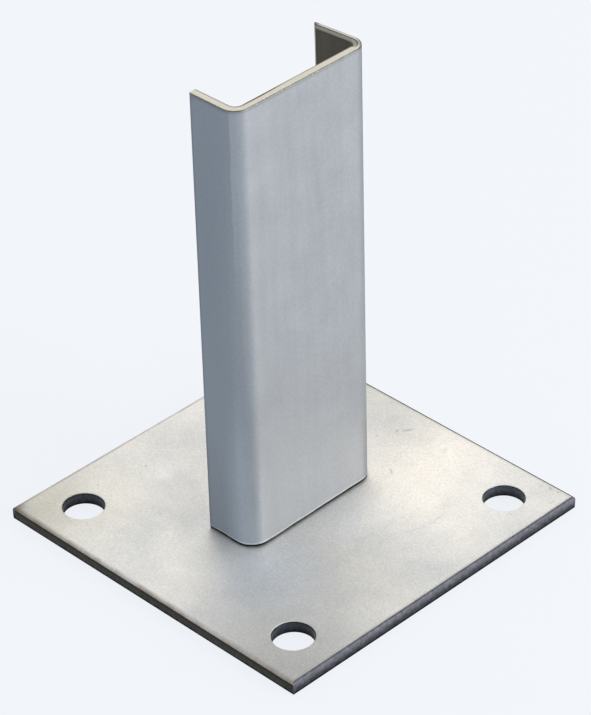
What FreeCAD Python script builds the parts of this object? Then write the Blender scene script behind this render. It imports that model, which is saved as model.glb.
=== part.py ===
import FreeCAD, Part

import math
import os

import Sketcher

# A steel base plate with a folded channel stub welded upright on it. Millimetres, +Z up.
# The origin is the middle of the plate's underside. The channel's web faces -Y, and its
# open side faces +Y, between a left flange at -X and a right flange at +X.

SIZES = {
    # The plate: a sheared square with four anchor holes
    "plate_length": 150.0,
    "plate_width": 150.0,
    "plate_thickness": 5.0,
    "plate_edge_roll": 1.0,
    "anchor_hole_diameter": 16.0,
    "anchor_hole_inset": 19.0,
    "anchor_hole_roll": 0.6,
    # The channel: one folded sheet, measured over its outside faces. The folds came out a little
    # uneven: the left flange is narrower, and the right one leans in by some degrees.
    "channel_web": 66.2,
    "left_flange": 22.7,
    "right_flange": 24.3,
    "right_flange_lean": 5.2,
    "channel_height": 188.0,
    "sheet_thickness": 3.2,
    "bend_inside_radius": 3.3,
    "free_edge_round": 0.6,
    "foot_edge_round": 0.7,
    "cut_edge_round": 0.3,
    "shear_bevel_width": 1.7,
    "shear_bevel_depth": 0.7,
    # Where the channel was welded: a little off the middle and not quite square
    "channel_shift_x": 0.9,
    "channel_shift_y": 1.3,
    "channel_turn": 0.6,
    # The fillet welds inside the channel's foot, measured over their rounded ends
    "weld_leg": 3.0,
    "weld_crown": 0.4,
    "web_weld_length": 44.0,
    "flange_weld_length": 13.0,
}

TOUCH = 1e-4
HORIZONTAL_AXIS = -1
START, END, CENTRE = 1, 2, 3
QUARTER_TURN = 90.0
# Formula of the bends' outside radius
OUTSIDE_RADIUS = "(sizes.bend_inside_radius + sizes.sheet_thickness)"


def size_sheet(doc):
    """Spreadsheet with one row for each driving size: its name, its value and its alias."""
    sheet = doc.addObject("Spreadsheet::Sheet", "sizes")
    for row, (name, value) in enumerate(SIZES.items(), start=1):
        sheet.set(f"A{row}", name)
        sheet.set(f"B{row}", str(value))
        sheet.setAlias(f"B{row}", name)
    doc.recompute()
    return sheet


def new_body(doc, name):
    body = doc.addObject("PartDesign::Body", name)
    body.Label = name
    return body


def origin_feature(body, role):
    """One of the body's own origin planes or axes, such as XY_Plane or X_Axis."""
    return next(item for item in body.Origin.OriginFeatures if item.Role == role)


def new_sketch(body, name, role, offset=None):
    """Sketch on an origin plane, moved along that plane's normal where an offset is given."""
    sketch = body.newObject("Sketcher::SketchObject", name)
    sketch.AttachmentSupport = [(origin_feature(body, role), "")]
    sketch.MapMode = "FlatFace"
    if offset:
        sketch.setExpression("AttachmentOffset.Base.z", offset)
    return sketch


def constrain(sketch, kind, *where):
    return sketch.addConstraint(Sketcher.Constraint(kind, *where))


def dimension(sketch, name, formula, kind, *where):
    """Dimension with its own name, driven by a formula of the sheet's sizes."""
    index = constrain(sketch, kind, *where)
    sketch.renameConstraint(index, name)
    sketch.setExpression(f"Constraints.{name}", formula)


def line(sketch, start, end):
    segment = Part.LineSegment(FreeCAD.Vector(*start, 0), FreeCAD.Vector(*end, 0))
    return sketch.addGeometry(segment, False)


def arc(sketch, centre, radius, first_deg, last_deg):
    circle = Part.Circle(FreeCAD.Vector(*centre, 0), FreeCAD.Vector(0, 0, 1), radius)
    part = Part.ArcOfCircle(circle, math.radians(first_deg), math.radians(last_deg))
    return sketch.addGeometry(part, False)


def edge_names(shape, wanted):
    """Names of the edges for which wanted(edge) holds."""
    return [f"Edge{i}" for i, edge in enumerate(shape.Edges, start=1) if wanted(edge)]


def level(edge, height):
    """True for an edge that lies flat at the given height."""
    return abs(edge.BoundBox.ZMin - height) < TOUCH and abs(edge.BoundBox.ZMax - height) < TOUCH


def edge_round(body, name, base, wanted, radius_size):
    """Fillet on the base feature's wanted edges."""
    fillet = body.newObject("PartDesign::Fillet", name)
    fillet.Base = (base, edge_names(base.Shape, wanted))
    fillet.setExpression("Radius", f"sizes.{radius_size}")
    body.Document.recompute()
    return fillet


def plate_outline(body):
    """Rectangle centred on the origin."""
    half_x, half_y = SIZES["plate_length"] / 2, SIZES["plate_width"] / 2
    corners = [(-half_x, -half_y), (half_x, -half_y), (half_x, half_y), (-half_x, half_y)]
    sketch = new_sketch(body, "plate_outline", "XY_Plane")
    sides = [line(sketch, corners[i], corners[(i + 1) % 4]) for i in range(4)]
    for i, side in enumerate(sides):
        constrain(sketch, "Coincident", side, END, sides[(i + 1) % 4], START)
        constrain(sketch, "Vertical" if i % 2 else "Horizontal", side)
    front, right = sides[0], sides[1]
    constrain(sketch, "Symmetric", front, START, right, END, HORIZONTAL_AXIS, START)
    dimension(sketch, "length", "sizes.plate_length", "DistanceX", front, START, front, END, 2 * half_x)
    dimension(sketch, "width", "sizes.plate_width", "DistanceY", right, START, right, END, 2 * half_y)
    return sketch


def first_hole_sketch(body):
    """Circle for the anchor hole of the front left corner, drawn on the plate's top face."""
    x = SIZES["plate_length"] / 2 - SIZES["anchor_hole_inset"]
    y = SIZES["plate_width"] / 2 - SIZES["anchor_hole_inset"]
    radius = SIZES["anchor_hole_diameter"] / 2
    sketch = new_sketch(body, "anchor_hole_place", "XY_Plane", "sizes.plate_thickness")
    circle = Part.Circle(FreeCAD.Vector(-x, -y, 0), FreeCAD.Vector(0, 0, 1), radius)
    hole = sketch.addGeometry(circle, False)
    dimension(sketch, "across", "sizes.plate_length / 2 - sizes.anchor_hole_inset",
              "DistanceX", hole, CENTRE, HORIZONTAL_AXIS, START, x)
    dimension(sketch, "along", "sizes.plate_width / 2 - sizes.anchor_hole_inset",
              "DistanceY", hole, CENTRE, HORIZONTAL_AXIS, START, y)
    dimension(sketch, "bore", "sizes.anchor_hole_diameter", "Diameter", hole, 2 * radius)
    return sketch


def hole_row(body, name, axis_role, plate_side):
    """Pattern step that repeats a hole once, as far in from the far edge as from the near one."""
    row = body.Document.addObject("PartDesign::LinearPattern", name)
    row.Direction = (origin_feature(body, axis_role), [""])
    row.Occurrences = 2
    row.setExpression("Length", f"sizes.{plate_side} - 2 * sizes.anchor_hole_inset")
    return row


def base_plate(doc):
    """Square plate: sheared sides with a rolled top edge, and four punched anchor holes."""
    body = new_body(doc, "base_plate")
    slab = body.newObject("PartDesign::Pad", "plate_slab")
    slab.Profile = plate_outline(body)
    slab.setExpression("Length", "sizes.plate_thickness")
    doc.recompute()

    hole_sketch = first_hole_sketch(body)
    doc.recompute()
    hole = body.newObject("PartDesign::Hole", "anchor_hole")
    hole.Profile = hole_sketch
    doc.recompute()
    hole.Threaded = False
    hole.DepthType = "ThroughAll"
    hole.setExpression("Diameter", "sizes.anchor_hole_diameter")
    doc.recompute()

    holes = body.newObject("PartDesign::MultiTransform", "anchor_holes")
    holes.Originals = [hole]
    holes.Transformations = [hole_row(body, "holes_along_x", "X_Axis", "plate_length"),
                             hole_row(body, "holes_along_y", "Y_Axis", "plate_width")]
    body.Tip = holes
    doc.recompute()

    top = SIZES["plate_thickness"]
    rolled = edge_round(body, "sheared_edge_roll", holes,
                        lambda edge: level(edge, top) and isinstance(edge.Curve, Part.Line),
                        "plate_edge_roll")
    edge_round(body, "hole_edge_roll", rolled,
               lambda edge: level(edge, top) and isinstance(edge.Curve, Part.Circle), "anchor_hole_roll")
    return body


def outside_radius():
    return SIZES["bend_inside_radius"] + SIZES["sheet_thickness"]


def right_bend():
    """Middle of the right bend, in the channel's own axes."""
    return FreeCAD.Vector(SIZES["channel_web"] / 2 - outside_radius(), outside_radius(), 0)


def right_wall():
    """Directions of the leaning right flange: outwards from its outer face, and towards its free edge."""
    lean = math.radians(SIZES["right_flange_lean"])
    return (FreeCAD.Vector(math.cos(lean), math.sin(lean), 0),
            FreeCAD.Vector(-math.sin(lean), math.cos(lean), 0))


def plan(vector):
    return vector.x, vector.y


def channel_section(body):
    """Constant-thickness U section: web along X on the X axis, flanges running back, two round bends."""
    half_web, left_depth = SIZES["channel_web"] / 2, SIZES["left_flange"]
    sheet, inside, outside = SIZES["sheet_thickness"], SIZES["bend_inside_radius"], outside_radius()
    bend, (outward, along) = right_bend(), right_wall()
    lean = SIZES["right_flange_lean"]
    right_end = bend + outward * outside + along * (SIZES["right_flange"] - outside)
    sketch = new_sketch(body, "channel_section", "XY_Plane")

    left_outer = line(sketch, (-half_web, left_depth), (-half_web, outside))
    left_bend_outer = arc(sketch, (-bend.x, bend.y), outside, 180, 270)
    web_outer = line(sketch, (-bend.x, 0), (bend.x, 0))
    right_bend_outer = arc(sketch, plan(bend), outside, 270, 360 + lean)
    right_outer = line(sketch, plan(bend + outward * outside), plan(right_end))
    right_edge = line(sketch, plan(right_end), plan(right_end - outward * sheet))
    right_inner = line(sketch, plan(right_end - outward * sheet), plan(bend + outward * inside))
    right_bend_inner = arc(sketch, plan(bend), inside, 270, 360 + lean)
    web_inner = line(sketch, (bend.x, sheet), (-bend.x, sheet))
    left_bend_inner = arc(sketch, (-bend.x, bend.y), inside, 180, 270)
    left_inner = line(sketch, (sheet - half_web, outside), (sheet - half_web, left_depth))
    left_edge = line(sketch, (sheet - half_web, left_depth), (-half_web, left_depth))

    for first, first_end, second, second_end in [
            (left_outer, END, left_bend_outer, START), (left_bend_outer, END, web_outer, START),
            (web_outer, END, right_bend_outer, START), (right_bend_outer, END, right_outer, START),
            (right_inner, END, right_bend_inner, END), (right_bend_inner, START, web_inner, START),
            (web_inner, END, left_bend_inner, END), (left_bend_inner, START, left_inner, START)]:
        constrain(sketch, "Tangent", first, first_end, second, second_end)
    for first, second in [(right_outer, right_edge), (right_edge, right_inner),
                          (left_inner, left_edge), (left_edge, left_outer)]:
        constrain(sketch, "Coincident", first, END, second, START)
    constrain(sketch, "Coincident", left_bend_outer, CENTRE, left_bend_inner, CENTRE)
    constrain(sketch, "Coincident", right_bend_outer, CENTRE, right_bend_inner, CENTRE)
    constrain(sketch, "Equal", left_bend_inner, right_bend_inner)
    constrain(sketch, "Vertical", left_outer)
    constrain(sketch, "Horizontal", web_outer)
    for outer, inner in [(left_outer, left_inner), (web_outer, web_inner), (right_outer, right_inner)]:
        constrain(sketch, "Parallel", outer, inner)
    constrain(sketch, "Perpendicular", left_edge, left_outer)
    constrain(sketch, "Perpendicular", right_edge, right_outer)
    constrain(sketch, "Symmetric", web_outer, START, web_outer, END, HORIZONTAL_AXIS, START)

    dimension(sketch, "bend", "sizes.bend_inside_radius", "Radius", left_bend_inner, inside)
    dimension(sketch, "sheet", "sizes.sheet_thickness", "Distance", left_edge, sheet)
    dimension(sketch, "web", f"sizes.channel_web - 2 * {OUTSIDE_RADIUS}", "Distance", web_outer, 2 * bend.x)
    dimension(sketch, "left", f"sizes.left_flange - {OUTSIDE_RADIUS}", "Distance",
              left_outer, left_depth - outside)
    dimension(sketch, "right", f"sizes.right_flange - {OUTSIDE_RADIUS}", "Distance",
              right_outer, SIZES["right_flange"] - outside)
    dimension(sketch, "fold", "90 + sizes.right_flange_lean", "Angle",
              web_outer, START, right_outer, START, math.radians(QUARTER_TURN + lean))
    return sketch


def right_depth(point):
    """How deep a point lies inside the right flange's outer face."""
    outward, _ = right_wall()
    return outside_radius() - (point - right_bend()).dot(outward)


def on_outside(edge):
    """True for a level edge of the channel's outside: both flanges, both bends and the web."""
    middle = edge.CenterOfMass
    if isinstance(edge.Curve, Part.Circle):
        return abs(edge.Curve.Radius - outside_radius()) < TOUCH
    return (abs(middle.x + SIZES["channel_web"] / 2) < TOUCH or abs(middle.y) < TOUCH
            or abs(right_depth(middle)) < TOUCH)


def at_free_edge(edge):
    """True for an upright edge at the tip of a flange, beyond the bends."""
    bends_end = outside_radius() * (1 + math.sin(math.radians(SIZES["right_flange_lean"])))
    return edge.BoundBox.ZLength > SIZES["channel_height"] / 2 and edge.BoundBox.YMin > bends_end + TOUCH


def bevel_profile(body):
    """Outline of what the bevel takes away, on the upright plane where the right flange leaves its bend.

    Across is measured from the bend's axis. The slanted side runs from the cut face down to the inner
    face and on into the hollow, and the outline closes above the cut face.
    """
    width, depth, height = SIZES["shear_bevel_width"], SIZES["shear_bevel_depth"], SIZES["channel_height"]
    inside = SIZES["bend_inside_radius"]
    hollow = inside / 2
    low = height - depth * (1 + hollow / width)
    above = height + width
    sketch = new_sketch(body, "bevel_profile", "XZ_Plane")
    sketch.setExpression("AttachmentOffset.Base.x", f"sizes.channel_web / 2 - {OUTSIDE_RADIUS}")
    sketch.setExpression("AttachmentOffset.Base.z", f"-{OUTSIDE_RADIUS}")
    sketch.AttachmentOffset.Rotation.Axis = FreeCAD.Vector(0, 1, 0)
    sketch.setExpression("AttachmentOffset.Rotation.Angle", "sizes.right_flange_lean")
    points = [(inside + width, height), (inside + width, above), (hollow, above), (hollow, low)]
    sides = [line(sketch, points[i], points[(i + 1) % 4]) for i in range(4)]
    for i, side in enumerate(sides):
        constrain(sketch, "Coincident", side, END, sides[(i + 1) % 4], START)
    outer, top, inner, slant = sides
    constrain(sketch, "Vertical", outer)
    constrain(sketch, "Vertical", inner)
    constrain(sketch, "Horizontal", top)
    dimension(sketch, "outer_edge", "sizes.bend_inside_radius + sizes.shear_bevel_width", "DistanceX",
              HORIZONTAL_AXIS, START, outer, START, inside + width)
    dimension(sketch, "cut_face", "sizes.channel_height", "DistanceY",
              HORIZONTAL_AXIS, START, outer, START, height)
    dimension(sketch, "above", "sizes.shear_bevel_width", "DistanceY", outer, START, outer, END, width)
    dimension(sketch, "hollow", "sizes.bend_inside_radius / 2", "DistanceX",
              HORIZONTAL_AXIS, START, inner, END, hollow)
    dimension(sketch, "fall",
              "sizes.shear_bevel_depth * (1 + sizes.bend_inside_radius / 2 / sizes.shear_bevel_width)",
              "DistanceY", slant, START, slant, END, height - low)
    return sketch


def shear_bevel(body):
    """Slanted lip that the crop left along the inside of the right flange, and round its bend."""
    profile = bevel_profile(body)
    body.Document.recompute()
    along_flange = body.newObject("PartDesign::Pocket", "bevel_along_flange")
    along_flange.Profile = profile
    along_flange.setExpression("Length", "sizes.right_flange")
    body.Document.recompute()
    round_bend = body.newObject("PartDesign::Groove", "bevel_round_bend")
    round_bend.Profile = profile
    round_bend.ReferenceAxis = (profile, ["V_Axis"])
    round_bend.Reversed = True
    round_bend.setExpression("Angle", "90 + sizes.right_flange_lean")
    body.Document.recompute()
    return round_bend


def post_channel(doc):
    """Folded channel stub, cropped square at the top, standing on the plate's top face."""
    body = new_body(doc, "post_channel")
    channel = body.newObject("PartDesign::Pad", "channel_length")
    channel.Profile = channel_section(body)
    channel.setExpression("Length", "sizes.channel_height")
    doc.recompute()

    height = SIZES["channel_height"]
    edge_round(body, "free_edge_round", channel, at_free_edge, "free_edge_round")
    bevel = shear_bevel(body)
    foot = edge_round(body, "foot_edge_round", bevel,
                      lambda edge: level(edge, 0) and on_outside(edge), "foot_edge_round")
    edge_round(body, "cut_edge_round", foot,
               lambda edge: level(edge, height) and on_outside(edge), "cut_edge_round")

    body.setExpression("Placement.Base.x", "sizes.channel_shift_x")
    body.setExpression("Placement.Base.y",
                       "sizes.channel_shift_y - (sizes.left_flange + sizes.right_flange) / 4")
    body.setExpression("Placement.Base.z", "sizes.plate_thickness")
    body.setExpression("Placement.Rotation.Angle", "sizes.channel_turn")
    return body


def bead_profile(body, half_run):
    """Section of a fillet weld: one leg on the plate, one up the wall, and a crowned face."""
    leg, crown = SIZES["weld_leg"], SIZES["weld_crown"]
    radius = (leg ** 2 / 2 + crown ** 2) / (2 * crown)
    # The crowned face's centre lies on the bisector of the two legs, behind the chord's middle
    centre = leg / 2 - (radius - crown) / math.sqrt(2)
    first = math.degrees(math.atan2(-centre, leg - centre))
    sketch = new_sketch(body, "bead_profile", "YZ_Plane", half_run)
    foot = line(sketch, (0, 0), (leg, 0))
    face = arc(sketch, (centre, centre), radius, first, QUARTER_TURN - first)
    wall = line(sketch, (0, leg), (0, 0))
    constrain(sketch, "Coincident", foot, START, HORIZONTAL_AXIS, START)
    constrain(sketch, "Coincident", foot, END, face, START)
    constrain(sketch, "Coincident", face, END, wall, START)
    constrain(sketch, "Coincident", wall, END, foot, START)
    constrain(sketch, "Horizontal", foot)
    constrain(sketch, "Vertical", wall)
    dimension(sketch, "foot_leg", "sizes.weld_leg", "DistanceX", foot, START, foot, END, leg)
    dimension(sketch, "wall_leg", "sizes.weld_leg", "DistanceY", wall, END, wall, START, leg)
    dimension(sketch, "face", "(sizes.weld_leg ^ 2 / 2 + sizes.weld_crown ^ 2) / (2 * sizes.weld_crown)",
              "Radius", face, radius)
    return sketch


def weld_bead(doc, name, length_size, place_x, place_y, turn):
    """Straight fillet weld with rounded ends, on the plate and against one inner wall of the channel.

    It is drawn along its own X, wall at y = 0, and placed in the channel's own axes.
    """
    body = new_body(doc, name)
    half_run = f"sizes.{length_size} / 2 - sizes.weld_leg"
    profile = bead_profile(body, half_run)
    run = body.newObject("PartDesign::Pad", "bead_run")
    run.Profile = profile
    run.Reversed = True
    run.setExpression("Length", half_run)
    doc.recompute()
    nose = body.newObject("PartDesign::Revolution", "bead_end")
    nose.Profile = profile
    nose.ReferenceAxis = (profile, ["V_Axis"])
    nose.Angle = QUARTER_TURN
    nose.Reversed = True
    doc.recompute()
    other_half = body.newObject("PartDesign::Mirrored", "bead_other_half")
    other_half.Originals = [run, nose]
    other_half.MirrorPlane = (origin_feature(body, "YZ_Plane"), [""])
    body.Tip = other_half
    body.setExpression("Placement", "post_channel.Placement * create(<<placement>>; "
                       f"create(<<vector>>; {place_x}; {place_y}; 0); "
                       f"create(<<rotation>>; create(<<vector>>; 0; 0; 1); {turn}))")
    return body


def weld_beads(doc):
    """Three welds inside the channel's foot: one along the web and one along each flange."""
    left_x = "sizes.sheet_thickness - sizes.channel_web / 2"
    left_y = f"({OUTSIDE_RADIUS} + sizes.left_flange) / 2"
    # The right flange's inner face starts at the end of its bend and leans in from there
    half_flange = f"(sizes.right_flange - {OUTSIDE_RADIUS}) / 2"
    lean = "sizes.right_flange_lean"
    right_x = (f"sizes.channel_web / 2 - {OUTSIDE_RADIUS} + sizes.bend_inside_radius * cos({lean})"
               f" - {half_flange} * sin({lean})")
    right_y = (f"{OUTSIDE_RADIUS} + sizes.bend_inside_radius * sin({lean})"
               f" + {half_flange} * cos({lean})")
    return [
        weld_bead(doc, "web_weld", "web_weld_length", "0", "sizes.sheet_thickness", "0"),
        weld_bead(doc, "left_flange_weld", "flange_weld_length", left_x, left_y, "-90"),
        weld_bead(doc, "right_flange_weld", "flange_weld_length", right_x, right_y, f"90 + {lean}"),
    ]


def check(doc, bodies):
    """Stop on any failed object, and on any piece that is not one sound solid."""
    failed = [item.Name for item in doc.Objects if {"Invalid", "Error"} & set(item.State)]
    if failed:
        raise RuntimeError(f"failed objects: {failed}")
    for body in bodies:
        shape = body.Shape
        if shape.isNull() or not shape.isValid() or len(shape.Solids) != 1:
            raise RuntimeError(f"{body.Label} is not one valid solid")


def main():
    doc = FreeCAD.newDocument("base_plate_with_channel")
    size_sheet(doc)
    bodies = [base_plate(doc), post_channel(doc)]
    doc.recompute()
    bodies += weld_beads(doc)
    doc.recompute()
    check(doc, bodies)
    os.makedirs("parts", exist_ok=True)
    for body in bodies:
        body.Shape.exportStep(f"parts/{body.Label}.step")
        box = body.Shape.BoundBox
        print(f"{body.Label}: volume {body.Shape.Volume:.1f}, X {box.XMin:.2f}..{box.XMax:.2f}, "
              f"Y {box.YMin:.2f}..{box.YMax:.2f}, Z {box.ZMin:.2f}..{box.ZMax:.2f}")


main()
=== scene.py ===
"""Looks of a steel base plate with a short folded channel welded upright on it.

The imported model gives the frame: metres, +Z up, the origin in the middle of the plate's underside.
The channel's web faces -Y and its open side faces +Y. Shapes are worked out in millimetres with
numpy and become metres when their mesh is made.
"""

import logging
import math
from dataclasses import dataclass
from enum import IntEnum

import bmesh
import bpy
import numpy as np
from mathutils import Matrix, Vector

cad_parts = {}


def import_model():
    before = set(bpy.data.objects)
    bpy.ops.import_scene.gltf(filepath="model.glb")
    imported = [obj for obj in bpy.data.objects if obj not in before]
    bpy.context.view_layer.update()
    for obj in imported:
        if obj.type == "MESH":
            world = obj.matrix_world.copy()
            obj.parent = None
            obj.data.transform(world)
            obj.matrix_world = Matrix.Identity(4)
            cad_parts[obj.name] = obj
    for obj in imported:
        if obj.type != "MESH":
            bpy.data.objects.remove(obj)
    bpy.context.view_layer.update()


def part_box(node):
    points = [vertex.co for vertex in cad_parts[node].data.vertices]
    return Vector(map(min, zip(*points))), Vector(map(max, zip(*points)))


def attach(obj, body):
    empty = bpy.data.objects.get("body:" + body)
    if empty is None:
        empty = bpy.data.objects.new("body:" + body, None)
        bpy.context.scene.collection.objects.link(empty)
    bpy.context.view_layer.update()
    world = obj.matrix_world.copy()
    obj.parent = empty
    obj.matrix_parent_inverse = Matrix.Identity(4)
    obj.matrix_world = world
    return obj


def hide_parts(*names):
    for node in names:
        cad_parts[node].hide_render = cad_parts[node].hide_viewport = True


MM = 0.001
QUARTER = math.pi / 2
BODY = "root"
PHOTO_HEIGHT_PX = 715
SENSOR_MM = 36.0
SEED = 41
# Points closer than this are joined when a mesh is made
MERGE_MM = 0.002
# Cells down the plate's rolled edge
ROLL_STEPS = 6
# Outside radius of the bends in the solid, which the flanges' reach and the beads' places follow
CAD_BEND = 6.5
# Stretches of a noise's range that a tone runs over
MOST, MIDDLE, WIDE = (0.3, 0.7), (0.35, 0.65), (0.25, 0.75)
LOG = logging.getLogger("base_plate")

Colour = tuple[float, float, float, float]
Span = tuple[float, float]
Array, Socket = np.ndarray, bpy.types.NodeSocket
Material, Object = bpy.types.Material, bpy.types.Object


def linear(code: str) -> Colour:
    """Turn an sRGB hex code into a linear colour.

    Args:
        code: colour such as "#A8B0BA".

    Returns:
        Red, green, blue and an alpha of 1, in linear light.
    """
    channels = np.array([int(code[i:i + 2], 16) for i in (1, 3, 5)]) / 255
    low, high = channels / 12.92, ((channels + 0.055) / 1.055) ** 2.4
    return (*np.where(channels <= 0.04045, low, high).tolist(), 1.0)


def ramp(values: Array, start: float, end: float) -> Array:
    """Share of the way from start to end, held at 0 before it and at 1 past it."""
    return np.clip((values - start) / (end - start), 0, 1)


def quarter_round(radius: float, count: int) -> tuple[Array, Array]:
    """Inset and drop of evenly spaced points down a rounded edge, from the flat face to the wall."""
    turn = np.linspace(0, QUARTER, count)
    return radius * (1 - np.sin(turn)), radius * (1 - np.cos(turn))


def raised(flat: Array, height: Array | float) -> Array:
    """Give rows by columns of x and y their height."""
    return np.concatenate([flat, np.broadcast_to(height, (*flat.shape[:2], 1))], axis=-1)


def unit(arrows: Array) -> Array:
    """Shrink or stretch arrows to a length of 1."""
    return arrows / np.linalg.norm(arrows, axis=-1, keepdims=True)


def drift(rng: np.random.Generator, rows: int, columns: int, row_cells: float,
          column_cells: float) -> Array:
    """Smooth random field that repeats at its far ends.

    White noise is filtered in its Fourier transform by a bell curve, so that what is left changes
    over about row_cells by column_cells, and is scaled to a standard deviation of 1.

    Args:
        rng: the seeded source of random numbers.
        rows: number of rows.
        columns: number of columns.
        row_cells: width of a feature, in rows.
        column_cells: width of a feature, in columns.

    Returns:
        Array of rows by columns.
    """
    noise = np.fft.fft2(rng.standard_normal((rows, columns)))
    down = np.fft.fftfreq(rows)[:, None] * row_cells
    across = np.fft.fftfreq(columns)[None, :] * column_cells
    smooth = np.fft.ifft2(noise * np.exp(-2 * (down ** 2 + across ** 2))).real
    return smooth / smooth.std()


def direction(azimuth_deg: float, elevation_deg: float) -> Vector:
    """Arrow of length 1 towards a place round the part: azimuth from -Y towards +X, elevation upwards."""
    turn, rise = math.radians(azimuth_deg), math.radians(elevation_deg)
    return Vector((math.sin(turn) * math.cos(rise), -math.cos(turn) * math.cos(rise), math.sin(rise)))


def add_object(name: str, data: bpy.types.ID) -> Object:
    """Make an object at the origin and put it in the scene.

    Args:
        name: the object's name.
        data: its mesh, camera or lamp.

    Returns:
        The object.
    """
    made = bpy.data.objects.new(name, data)
    bpy.context.scene.collection.objects.link(made)
    return made


@dataclass(frozen=True)
class Placement:
    """Where a sub-assembly's own axes lie, in millimetres and degrees about +Z."""

    x: float = 0.0
    y: float = 0.0
    z: float = 0.0
    turn_deg: float = 0.0

    def apply(self, points: Array) -> Array:
        """Turn points about +Z and then move them.

        Args:
            points: array whose last axis is x, y, z.

        Returns:
            The placed points, in the same shape.
        """
        cos, sin = math.cos(math.radians(self.turn_deg)), math.sin(math.radians(self.turn_deg))
        spin = np.array([[cos, -sin, 0], [sin, cos, 0], [0, 0, 1]])
        return points @ spin.T + np.array([self.x, self.y, self.z])

    def carry(self, x: float, y: float, turn_deg: float) -> "Placement":
        """Place that is x, y and a turn away in this placement's own axes."""
        moved = self.apply(np.array([x, y, 0.0])).tolist()
        return Placement(*moved, self.turn_deg + turn_deg)


class Shell:
    """Grids of points, in millimetres, that are joined into one closed mesh."""

    def __init__(self, *fields: str) -> None:
        """Start with no grids.

        Args:
            fields: names of the numbers that every point carries for the finishes.
        """
        self.fields = fields
        self.points: list[Array] = []
        self.quads: list[Array] = []
        self.skins: list[Array] = []
        self.values: list[Array] = []
        self.count = 0

    def add_grid(self, points: Array, skin: Array | int, values: list[Array | float],
                 keep: Array | None = None, wrap: bool = False) -> None:
        """Add a grid of points and the quads between them.

        Args:
            points: rows by columns by 3.
            skin: material number of every cell, or one number for all.
            values: for each of the shell's fields, every point's number, or one number for all.
            keep: which cells to make, or all.
            wrap: whether the last column joins the first.
        """
        rows, columns = points.shape[:2]
        index = self.count + np.arange(rows * columns).reshape(rows, columns)
        if wrap:
            index = np.concatenate([index, index[:, :1]], axis=1)
        cells = np.stack([index[:-1, :-1], index[1:, :-1], index[1:, 1:], index[:-1, 1:]], axis=-1)
        keep = np.ones(cells.shape[:2], bool) if keep is None else keep
        self.quads.append(cells[keep])
        self.skins.append(np.broadcast_to(skin, cells.shape[:2])[keep])
        self.points.append(points.reshape(-1, 3))
        full = [np.broadcast_to(value, (rows, columns)).reshape(-1) for value in values]
        self.values.append(np.stack(full))
        self.count += rows * columns

    def make(self, name: str, finishes: list[Material], sharp_deg: float,
             place: Placement = Placement()) -> Object:
        """Join the grids where they meet and make the piece.

        Args:
            name: the piece's name.
            finishes: materials, in the order of the skin numbers.
            sharp_deg: faces that meet at more than this keep a crisp edge between them.
            place: where the piece's own axes lie.

        Returns:
            The mesh object, at the origin.
        """
        points, quads = place.apply(np.concatenate(self.points)) * MM, np.concatenate(self.quads)
        mesh = bpy.data.meshes.new(name)
        mesh.vertices.add(len(points))
        mesh.vertices.foreach_set("co", points.astype(np.float32).ravel())
        mesh.loops.add(quads.size)
        mesh.loops.foreach_set("vertex_index", quads.astype(np.int32).ravel())
        mesh.polygons.add(len(quads))
        mesh.polygons.foreach_set("loop_start", np.arange(0, quads.size, 4, dtype=np.int32))
        mesh.polygons.foreach_set("material_index", np.concatenate(self.skins).astype(np.int32))
        for label, value in zip(self.fields, np.concatenate(self.values, axis=1)):
            mesh.attributes.new(label, "FLOAT", "POINT").data.foreach_set("value", value.astype(np.float32))
        mesh.update(calc_edges=True)
        joined = bmesh.new()
        joined.from_mesh(mesh)
        bmesh.ops.remove_doubles(joined, verts=joined.verts, dist=MERGE_MM * MM)
        bmesh.ops.recalc_face_normals(joined, faces=joined.faces)
        joined.to_mesh(mesh)
        loose = sum(not edge.is_manifold for edge in joined.edges)
        joined.free()
        mesh.shade_smooth()
        mesh.set_sharp_from_angle(angle=math.radians(sharp_deg))
        for finish in finishes:
            mesh.materials.append(finish)
        LOG.info("%s: %d faces, %d open edges", name, len(mesh.polygons), loose)
        return add_object(name, mesh)


def stand_for(piece: Object, node: str) -> None:
    """Put a piece in a CAD node's place, on the part's one body.

    Args:
        piece: the new piece.
        node: name of the node that it stands for.
    """
    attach(piece, BODY)
    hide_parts(node)
    low, high = (np.array(corner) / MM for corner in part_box(node))
    points = np.empty(len(piece.data.vertices) * 3, np.float32)
    piece.data.vertices.foreach_get("co", points)
    points = points.reshape(-1, 3) / MM
    LOG.info("%s: box %s to %s mm, node %s to %s mm", piece.name, points.min(0).round(2),
             points.max(0).round(2), low.round(2), high.round(2))


@dataclass(frozen=True)
class Noise:
    """Random pattern of a real size, with finer layers in it."""

    size_mm: float
    layers: float
    strength: float

    def inputs(self) -> tuple[float, float, float]:
        """Scale, detail and roughness of the noise, for coordinates in metres."""
        return 1 / (self.size_mm * MM), self.layers, self.strength


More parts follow.
